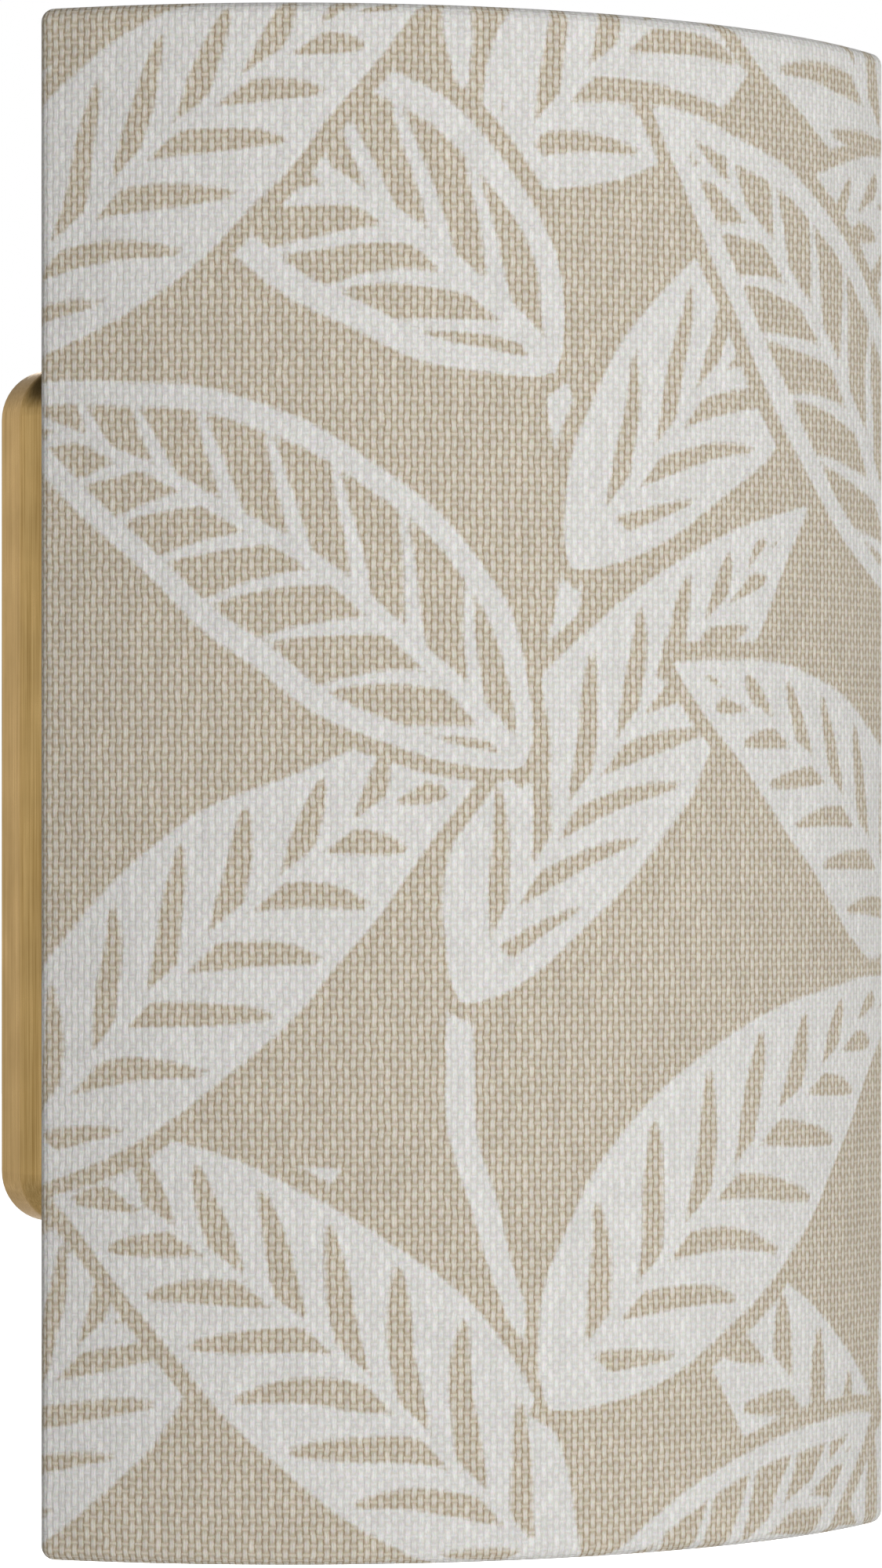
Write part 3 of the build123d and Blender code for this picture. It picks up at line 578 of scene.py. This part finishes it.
# Half-panama linen: pairs of fine upright threads float over single thin cross threads. Lengths in
# millimetres, heights as shares of a float's, noise in waves per millimetre
linenWeave = {
    "pairPitch": 1.085,
    "crossPitch": 1.40,
    "floatReach": 0.435,        # of a float, as a share of two cross pitches
    "reachSpread": 0.08,
    "floatSide": (2.2, 5.6),    # power and fall of a float towards its sides
    "floatEnd": 2.3,            # power of its fall towards its ends
    "diveHeight": 0.34,         # of the pair where it passes under a cross thread
    "splitDepth": 0.36,         # of the line between a float's two threads
    "splitSharp": 7.5,
    "splitSpread": 0.16,
    "barReach": 0.10,           # of the cross thread seen between two floats
    "barHeight": 0.92,
    "barSide": 1.3,             # its falls towards sides and ends
    "barEnd": 0.50,
    "barSwitch": 6.0,           # sharpness of the colour's change from bar to float
    "blend": (0.10, 0.12),
    "floatCream": "#D9D4CA",
    "barCream": "#D1C8B8",
    # painted shade: the gaps and pits between the threads are coloured darker by their height, where shade
    # falls among them
    "gapShadeTan": "#B6A890",
    "pitShadeBrown": "#94816A",      # deepest places, between two floats' ends
    "inkWhite": "#E6E5E3",
    "inkBar": "#DFDEDC",
    # painted shade in the gaps under the white ink
    "inkGapShade": "#D4D2CD",
    # heights over which the painted shade of the gaps gives way to the tops' colour
    "shadeLift": (0.06, 0.86),       # heights of the gaps' and the tops' full colour
    "pitShade": (-0.06, 0.12),
    "inkSteps": 0.14,
    "inkEdge": (-0.14, 0.46),
    "drift": ({"Scale": 0.30, "Detail": 3.0}, (0.7, 0.6, 0.0)),     # of the threads from straight
    "fuzz": ({"Scale": 1.7, "Detail": 3.0, "Roughness": 0.65}, (0.26, 0.36, 0.0)),  # loose fibre
    "pairTone": (7.31, 0.05, 1.0),
    "crossTone": (0.07, 5.93, 1.0),
    "fibre": (6.0, 1.6, 1.0),
    "fleck": {"Scale": 2.2, "Detail": 2.0, "Roughness": 0.7},
    "threadTones": (0.93, 1.05),
    "floatTones": (0.95, 1.04),
    "fibreTones": (0.90, 1.07),
    "fleckTones": ((0.30, 0.26, 0.34), (0.85, 0.87, 0.83)),
    "relief": 0.10,
    "threadRelief": 0.25,       # shares of the relief
    "fibreRelief": 0.12,
}


def threadPlace(tree, place, weave):
    # places on the cloth, with the threads' drift and frayed outlines
    moved = place
    for noise, amount in (weave["drift"], weave["fuzz"]):
        noise = addNode(tree, "TexNoise", {"Vector": place, **noise})
        spread = addNode(tree, "VectorMath", {
            0: noise.outputs["Color"], 1: (0.5, 0.5, 0.5),
        }, operation="SUBTRACT")
        moved = addNode(tree, "VectorMath", {
            0: spread.outputs[0], 1: amount, 2: moved,
        }, operation="MULTIPLY_ADD").outputs[0]
    return moved


def weaveShape(tree, moved, weave):
    # each step names its result for the steps below it
    parts = addNode(tree, "SeparateXYZ", {0: moved})
    value = {"u": parts.outputs[0], "v": parts.outputs[1]}
    power, fall = weave["floatSide"]
    reach = weave["floatReach"] - weave["reachSpread"] / 2
    steps = [
        ("p", "DIVIDE", "u", weave["pairPitch"]),
        ("q", "DIVIDE", "v", weave["crossPitch"]),
        ("pair", "FLOOR", "p"),
        ("inPair", "SUBTRACT", "p", "pair"),
        ("cx", "SUBTRACT", "inPair", 0.5),
        ("ax", "ABSOLUTE", "cx"),
        ("both", "ADD", "q", "pair"),
        ("cycle", "MULTIPLY", "both", 0.5),
        ("float", "FLOOR", "cycle"),
        ("inFloat", "SUBTRACT", "cycle", "float"),
        ("cy", "SUBTRACT", "inFloat", 0.5),
        ("ay", "ABSOLUTE", "cy"),
        ("chance", "CELL", "pair", "float"),
        # float: a lens, split down the middle into its two threads
        ("wide", "MULTIPLY", "cx", "cx"),
        ("wider", "POWER", "ax", power),
        ("narrow", "MULTIPLY_ADD", "wider", -fall, 1.0),
        ("dive", "MULTIPLY", "narrow", weave["diveHeight"]),
        ("reach", "MULTIPLY_ADD", "chance", weave["reachSpread"], reach),
        ("endShare", "DIVIDE", "ay", "reach"),
        ("end", "POWER", "endShare", weave["floatEnd"]),
        ("lens", "SUBTRACT", "narrow", "end"),
        ("offSplit", "MULTIPLY_ADD", "chance", weave["splitSpread"], -weave["splitSpread"] / 2),
        ("fromSplit", "SUBTRACT", "cx", "offSplit"),
        ("toSplit", "ABSOLUTE", "fromSplit"),
        ("nearSplit", "MULTIPLY_ADD", "toSplit", -weave["splitSharp"], 1.0),
        ("split", "MAXIMUM", "nearSplit", 0.0),
        ("splitLens", "MULTIPLY_ADD", "split", -weave["splitDepth"], "lens"),
        # bar: the cross thread, low at its ends where it dives under the neighbours
        ("toBar", "SUBTRACT", 0.5, "ay"),
        ("barShare", "DIVIDE", "toBar", weave["barReach"]),
        ("barRound", "MULTIPLY", "barShare", "barShare"),
        ("barTop", "MULTIPLY_ADD", "wide", -weave["barSide"], weave["barHeight"]),
        ("bar", "MULTIPLY_ADD", "barRound", -weave["barEnd"], "barTop"),
        ("above", "SUBTRACT", "splitLens", "bar"),
        ("which", "MULTIPLY_ADD", "above", weave["barSwitch"], 0.5),
        ("tops", "SMOOTH_MAX", "splitLens", "bar", weave["blend"][0]),
        ("height", "SMOOTH_MAX", "tops", "dive", weave["blend"][1]),
    ]
    for name, operation, *terms in steps:
        inputs = {k: value.get(term, term) for k, term in enumerate(terms)}
        if operation == "CELL":     # one chance value for each float
            cell = addNode(tree, "CombineXYZ", inputs)
            chance = addNode(tree, "TexWhiteNoise", {"Vector": cell.outputs[0]}, noise_dimensions="3D")
            value[name] = chance.outputs["Value"]
        else:
            value[name] = addNode(tree, "Math", inputs, operation=operation).outputs[0]
    value["which"] = addNode(tree, "Clamp", {0: value["which"]}).outputs[0]
    return value


def weaveTones(tree, place, value, weave):
    # every thread has its own thickness and shade, slowly changing along it
    row = addNode(tree, "Math", {0: value["q"]}, operation="ROUND").outputs[0]
    threads = []
    for parts, scale in (
        ((value["p"], row, 9.0), weave["crossTone"]),
        ((value["pair"], value["q"], 3.0), weave["pairTone"]),
    ):
        spot = addNode(tree, "CombineXYZ", dict(enumerate(parts)))
        spot = addNode(tree, "VectorMath", {0: spot.outputs[0], 1: scale}, operation="MULTIPLY")
        noise = addNode(tree, "TexNoise", {"Vector": spot.outputs[0], "Scale": 1.0, "Detail": 3.0})
        threads.append(noise.outputs[0])
    thread = addNode(tree, "Mix", {0: value["which"], 2: threads[0], 3: threads[1]}, data_type="FLOAT")
    fibre = addNode(tree, "VectorMath", {0: place, 1: weave["fibre"]}, operation="MULTIPLY")
    fibre = addNode(tree, "TexNoise", {
        "Vector": fibre.outputs[0], "Scale": 1.0, "Detail": 3.0, "Roughness": 0.7,
    })
    return thread.outputs[0], fibre.outputs[0]


def shadeOfTones(tree, place, value, thread, fibre, weave):
    # threads, floats and fibres differ in shade, and flecks in tint too
    fleck = addNode(tree, "TexNoise", {"Vector": place, **weave["fleck"]})
    shaded = addNode(tree, "VectorMath", {
        0: fleck.outputs["Color"], 1: weave["fleckTones"][0], 2: weave["fleckTones"][1],
    }, operation="MULTIPLY_ADD")
    for source, (least, most), (darkest, palest) in (
        (thread, (0.25, 0.75), weave["threadTones"]),
        (fibre, (0.3, 0.7), weave["fibreTones"]),
        (value["chance"], (0.0, 1.0), weave["floatTones"]),
    ):
        tone = addNode(tree, "MapRange", {
            "Value": source, "From Min": least, "From Max": most, "To Min": darkest, "To Max": palest,
        })
        shaded = addNode(tree, "VectorMath", {0: shaded.outputs[0], 3: tone.outputs[0]}, operation="SCALE")
    return shaded.outputs[0]


def linenColour(tree, value, weave):
    # bare linen and inked linen, each from its gaps, darkened as painted shade, up to its tops
    def blended(share, low, high):
        return addNode(tree, "Mix", {0: share, 6: low, 7: high}, data_type="RGBA").outputs[2]

    def ranged(source, low, high):
        return addNode(tree, "MapRange", {"Value": source, "From Min": low, "From Max": high}).outputs[0]

    # painted shade: low places in the weave take the darker gap and pit colours
    shadeLift = ranged(value["height"], *weave["shadeLift"])
    groundTop = blended(value["which"], linear(weave["barCream"]), linear(weave["floatCream"]))
    low = blended(ranged(value["height"], *weave["pitShade"]), linear(weave["pitShadeBrown"]), linear(weave["gapShadeTan"]))
    ground = blended(shadeLift, low, groundTop)
    inkTop = blended(value["which"], linear(weave["inkBar"]), linear(weave["inkWhite"]))
    inked = blended(shadeLift, linear(weave["inkGapShade"]), inkTop)
    # the ink edge steps a little from float to float, and the tops take ink further than the gaps
    edge = addNode(tree, "Attribute", attribute_name="inkDepth").outputs["Fac"]
    for source in (value["chance"], value["height"]):
        edge = addNode(tree, "Math", {
            0: source, 1: weave["inkSteps"], 2: edge,
        }, operation="MULTIPLY_ADD").outputs[0]
    return blended(ranged(edge, *weave["inkEdge"]), ground, inked)


def makeLinen(weave):
    # Printed linen. Lens-shaped floats of paired upright threads catch the light, thin cross threads show
    # as short bars between them, and the gaps get painted shade in darker tan and brown. White pigment lies
    # over it, matt and dry
    material, tree = newMaterial("printedLinen")
    place = addNode(tree, "Attribute", attribute_name="clothPlace").outputs["Vector"]
    value = weaveShape(tree, threadPlace(tree, place, weave), weave)
    thread, fibre = weaveTones(tree, place, value, weave)
    tinted = addNode(tree, "VectorMath", {
        0: linenColour(tree, value, weave),
        1: shadeOfTones(tree, place, value, thread, fibre, weave),
    }, operation="MULTIPLY")
    # bump in millimetres: thread relief, uneven thread thickness and fine fibre
    relief = value["height"]
    for source, share in ((thread, weave["threadRelief"]), (fibre, weave["fibreRelief"])):
        relief = addNode(tree, "Math", {0: source, 1: share, 2: relief}, operation="MULTIPLY_ADD").outputs[0]
    bump = addNode(tree, "Bump", {
        "Strength": 1.0, "Distance": weave["relief"] * millimetre, "Height": relief,
    })
    surface = addNode(tree, "BsdfPrincipled", {
        "Base Color": tinted.outputs[0],
        "Roughness": 0.88,
        "Specular IOR Level": 0.25,
        "Sheen Weight": 0.08,
        "Sheen Roughness": 0.4,
        "Normal": bump.outputs[0],
    })
    closeMaterial(tree, surface.outputs[0])
    return material


shadeCloth.data.materials.append(makeLinen(linenWeave))
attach(shadeCloth, "shade")
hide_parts("shade_fabric")
print("linen made")


# Finishes of the other parts. Grain is in waves per millimetre along the light's axes, relief and depth in
# millimetres. "dark" is the tone in the grain's hollows, "cloud" the strength of broad uneven patches,
# "edge" the tint that a coloured metal keeps where it is seen at a low angle
finishes = {
    # satin brass with a fine upright brush line, which draws each reflection out into a soft column
    "brushed_brass": {
        "name": "brushedBrass", "metal": True, "colour": "#CFAF76", "dark": "#A6864E", "roughness": 0.30,
        "grain": (2.6, 2.6, 0.03), "lyingGrain": (0.03, 2.6, 2.6), "relief": 0.012, "cloud": 0.10,
        "edge": "#F7E9D4",
    },
    # bright turned brass, warmer and glossier, with faint tool marks
    "plain_brass": {
        "name": "turnedBrass", "metal": True, "colour": "#CBA85F", "dark": "#A98640", "roughness": 0.25,
        "grain": (1.2, 6.0, 1.2), "relief": 0.006, "cloud": 0.12, "edge": "#F7E9D4",
    },
    # zinc plate: cool grey, with cloudy patches of duller and brighter crystal
    "zinc_steel": {
        "name": "zincPlatedSteel", "metal": True, "colour": "#C3C5C8", "dark": "#A3A6AC", "roughness": 0.36,
        "grain": (1.6, 1.6, 1.6), "relief": 0.008, "cloud": 0.22,
    },
    # tinned copper: warm white metal, a little dull
    "tinned_copper": {
        "name": "tinnedCopper", "metal": True, "colour": "#D2CEC6", "dark": "#B59F8A", "roughness": 0.30,
        "grain": (2.5, 2.5, 2.5), "relief": 0.006, "cloud": 0.16,
    },
    # nickel plate: the brightest metal here, smooth and slightly warm
    "nickel_plate": {
        "name": "nickelPlate", "metal": True, "colour": "#D2CEC7", "dark": "#BDB7AE", "roughness": 0.17,
        "grain": (0.9, 0.9, 3.0), "relief": 0.004, "cloud": 0.08,
    },
    # solder: soft grey bead, frosted where it cooled
    "solder": {
        "name": "tinSolder", "metal": True, "colour": "#BDBEBF", "dark": "#929496", "roughness": 0.34,
        "grain": (1.8, 1.8, 1.8), "relief": 0.02, "cloud": 0.20,
    },
    # rubber: near black, dry, greyed by bloom
    "bush_rubber": {
        "name": "blackRubber", "colour": "#333334", "dark": "#1E1E1F", "roughness": 0.66,
        "grain": (3.0, 3.0, 3.0), "relief": 0.015, "cloud": 0.25,
    },
    # nylon: milky, waxy, softly glossy, light passes a little way in
    "block_nylon": {
        "name": "naturalNylon", "colour": "#E0DDD2", "dark": "#CDC9BB", "roughness": 0.40,
        "grain": (1.4, 1.4, 1.4), "relief": 0.006, "cloud": 0.08, "depth": 1.2,
    },
    # moulded polyester: off-white with the mould's fine spark grain
    "holder_plastic": {
        "name": "mouldedPolyester", "colour": "#ECE9E1", "dark": "#DAD6CA", "roughness": 0.38,
        "grain": (3.2, 3.2, 3.2), "relief": 0.010, "cloud": 0.06, "depth": 0.6,
    },
    # glazed steatite: hard white glaze with a pin-prick texture
    "holder_ceramic": {
        "name": "glazedSteatite", "colour": "#EFEDE7", "dark": "#D6D1C6", "roughness": 0.16,
        "grain": (0.7, 0.7, 0.7), "relief": 0.015, "cloud": 0.05,
    },
    # powder coat on the frame wire: white with a slight orange peel
    "frame_enamel": {
        "name": "whitePowderCoat", "colour": "#EDEDEA", "dark": "#DCDCD8", "roughness": 0.36,
        "grain": (1.1, 1.1, 1.1), "relief": 0.010, "cloud": 0.06,
    },
    # liner: calendered white film, satin, faintly mottled where the cloth is bonded behind it
    "shade_liner_film": {
        "name": "shadeLinerFilm", "colour": "#F4F3EF", "dark": "#ECEAE4", "roughness": 0.44,
        "grain": (0.9, 0.9, 0.7), "relief": 0.012, "cloud": 0.03, "depth": 0.5,
    },
    # black glass of the lamp cap's insulator: wet gloss, deep violet black
    "black_glass": {
        "name": "blackCapGlass", "colour": "#1B1A20", "dark": "#0E0D11", "roughness": 0.07,
        "grain": (0.6, 0.6, 0.6), "relief": 0.012, "cloud": 0.10,
    },
    # phosphor coat on the filaments: egg-yolk yellow, chalky
    "filament_phosphor": {
        "name": "yellowPhosphor", "colour": "#E8B64A", "dark": "#CE9430", "roughness": 0.72,
        "grain": (2.2, 2.2, 1.2), "relief": 0.02, "cloud": 0.10, "depth": 0.4,
    },
    # wire sleeves: soft PVC, smooth and softly glossy
    "wire_brown": {
        "name": "brownPvc", "colour": "#704727", "dark": "#57361C", "roughness": 0.38,
        "grain": (1.5, 1.5, 1.5), "relief": 0.006, "cloud": 0.10,
    },
    "wire_blue": {
        "name": "bluePvc", "colour": "#2F6FB4", "dark": "#245891", "roughness": 0.38,
        "grain": (1.5, 1.5, 1.5), "relief": 0.006, "cloud": 0.10,
    },
    # two colours in slanting stripes, so many waves per metre
    "wire_green_yellow": {
        "name": "greenAndYellowPvc", "colour": "#D6CF3A", "dark": "#3B8A3E", "roughness": 0.38,
        "grain": (1.5, 1.5, 1.5), "relief": 0.006, "cloud": 0.10, "stripe": 180.0,
    },
    # clear glass: colourless, carries the lamp's outline on bright edges
    "lamp_clear_glass": {
        "name": "clearGlass", "colour": "#FFFFFF", "dark": "#F4F8F6", "roughness": 0.0,
        "grain": (0.05, 0.05, 0.05), "relief": 0.01, "cloud": 0.0, "clear": True,
    },
}

# What all finishes share
finishTexture = {
    "grainNoise": {"Scale": 1.0, "Detail": 4.0, "Roughness": 0.62},
    "cloudNoise": {"Scale": 95.0, "Detail": 3.0},   # per metre, so patches are about 10 mm wide
    "noiseRange": (0.3, 0.7),
    "lying": (0.6, 0.8),            # from upright faces to faces that look up or down
    "roughRange": (0.7, 1.3),       # of grain and cloud together
    "roughSpread": (1.25, 0.80),
    "softness": 0.25,               # of materials that light enters
    "glassIndex": 1.47,
    "glassShadow": (0.94, 0.95, 0.94, 1.0),
}


def makeFinish(finish, texture):
    material, tree = newMaterial(finish["name"])
    place = addNode(tree, "TexCoord")
    grains = []
    for waves in (finish["grain"], finish.get("lyingGrain")):
        if waves:
            scale = tuple(count / millimetre for count in waves)
            scaled = addNode(tree, "VectorMath", {0: place.outputs["Object"], 1: scale}, operation="MULTIPLY")
            noise = addNode(tree, "TexNoise", {"Vector": scaled.outputs[0], **texture["grainNoise"]})
            grains.append(noise.outputs[0])
    grain = grains[0]
    if "lyingGrain" in finish:
        # faces that look up or down are brushed from side to side
        facing = addNode(tree, "SeparateXYZ", {0: place.outputs["Normal"]})
        steep = addNode(tree, "Math", {0: facing.outputs[2]}, operation="ABSOLUTE")
        lying = addNode(tree, "MapRange", {
            "Value": steep.outputs[0], "From Min": texture["lying"][0], "From Max": texture["lying"][1],
        })
        grain = addNode(tree, "Mix", {
            0: lying.outputs[0], 2: grains[0], 3: grains[1],
        }, data_type="FLOAT").outputs[0]
    cloud = addNode(tree, "TexNoise", {"Vector": place.outputs["Object"], **texture["cloudNoise"]})
    least, most = texture["noiseRange"]
    if "stripe" in finish:
        band = addNode(tree, "TexWave", {
            "Vector": place.outputs["Object"], "Scale": finish["stripe"],
        }, bands_direction="DIAGONAL")
        share = addNode(tree, "Math", {0: band.outputs["Fac"], 1: 0.5}, operation="GREATER_THAN")
    else:
        share = addNode(tree, "MapRange", {"Value": grain, "From Min": least, "From Max": most})
    colour = addNode(tree, "Mix", {
        0: share.outputs[0], 6: linear(finish["dark"]), 7: linear(finish["colour"]),
    }, data_type="RGBA")
    level = addNode(tree, "MapRange", {
        "Value": cloud.outputs[0],
        "From Min": least,
        "From Max": most,
        "To Min": 1.0 - finish["cloud"],
        "To Max": 1.0,
    })
    colour = addNode(tree, "VectorMath", {0: colour.outputs[2], 3: level.outputs[0]}, operation="SCALE")
    # grain and cloud both break the gloss
    mixed = addNode(tree, "Math", {0: grain, 1: cloud.outputs[0]}, operation="ADD")
    rough = addNode(tree, "MapRange", {
        "Value": mixed.outputs[0],
        "From Min": texture["roughRange"][0],
        "From Max": texture["roughRange"][1],
        "To Min": finish["roughness"] * texture["roughSpread"][0],
        "To Max": finish["roughness"] * texture["roughSpread"][1],
    })
    bump = addNode(tree, "Bump", {
        "Strength": 1.0, "Distance": finish["relief"] * millimetre, "Height": grain,
    })
    inputs = {"Base Color": colour.outputs[0], "Roughness": rough.outputs[0], "Normal": bump.outputs[0]}
    if "metal" in finish:
        inputs["Metallic"] = 1.0
    if "edge" in finish:
        inputs["Specular Tint"] = linear(finish["edge"])
    if "depth" in finish:
        inputs["Subsurface Weight"] = texture["softness"]
        inputs["Subsurface Scale"] = finish["depth"] * millimetre
    if "clear" in finish:
        inputs["Transmission Weight"] = 1.0
        inputs["IOR"] = texture["glassIndex"]
    surface = addNode(tree, "BsdfPrincipled", inputs)
    if "clear" in finish:
        # lets the soft boxes' light in to the filaments
        path = addNode(tree, "LightPath")
        through = addNode(tree, "BsdfTransparent", {"Color": texture["glassShadow"]})
        surface = addNode(tree, "MixShader", {
            0: path.outputs["Is Shadow Ray"], 1: surface.outputs[0], 2: through.outputs[0],
        })
    closeMaterial(tree, surface.outputs[0])
    return material


made = {}
for part in frame["record"]["subparts"]:
    name, slot = part["node"], part["material_slot"]
    if slot == "printed_linen":
        continue
    if slot not in made:
        made[slot] = makeFinish(finishes[slot], finishTexture)
    for holder in nodes[name].material_slots:
        holder.material = made[slot]
print("finishes made:", len(made))
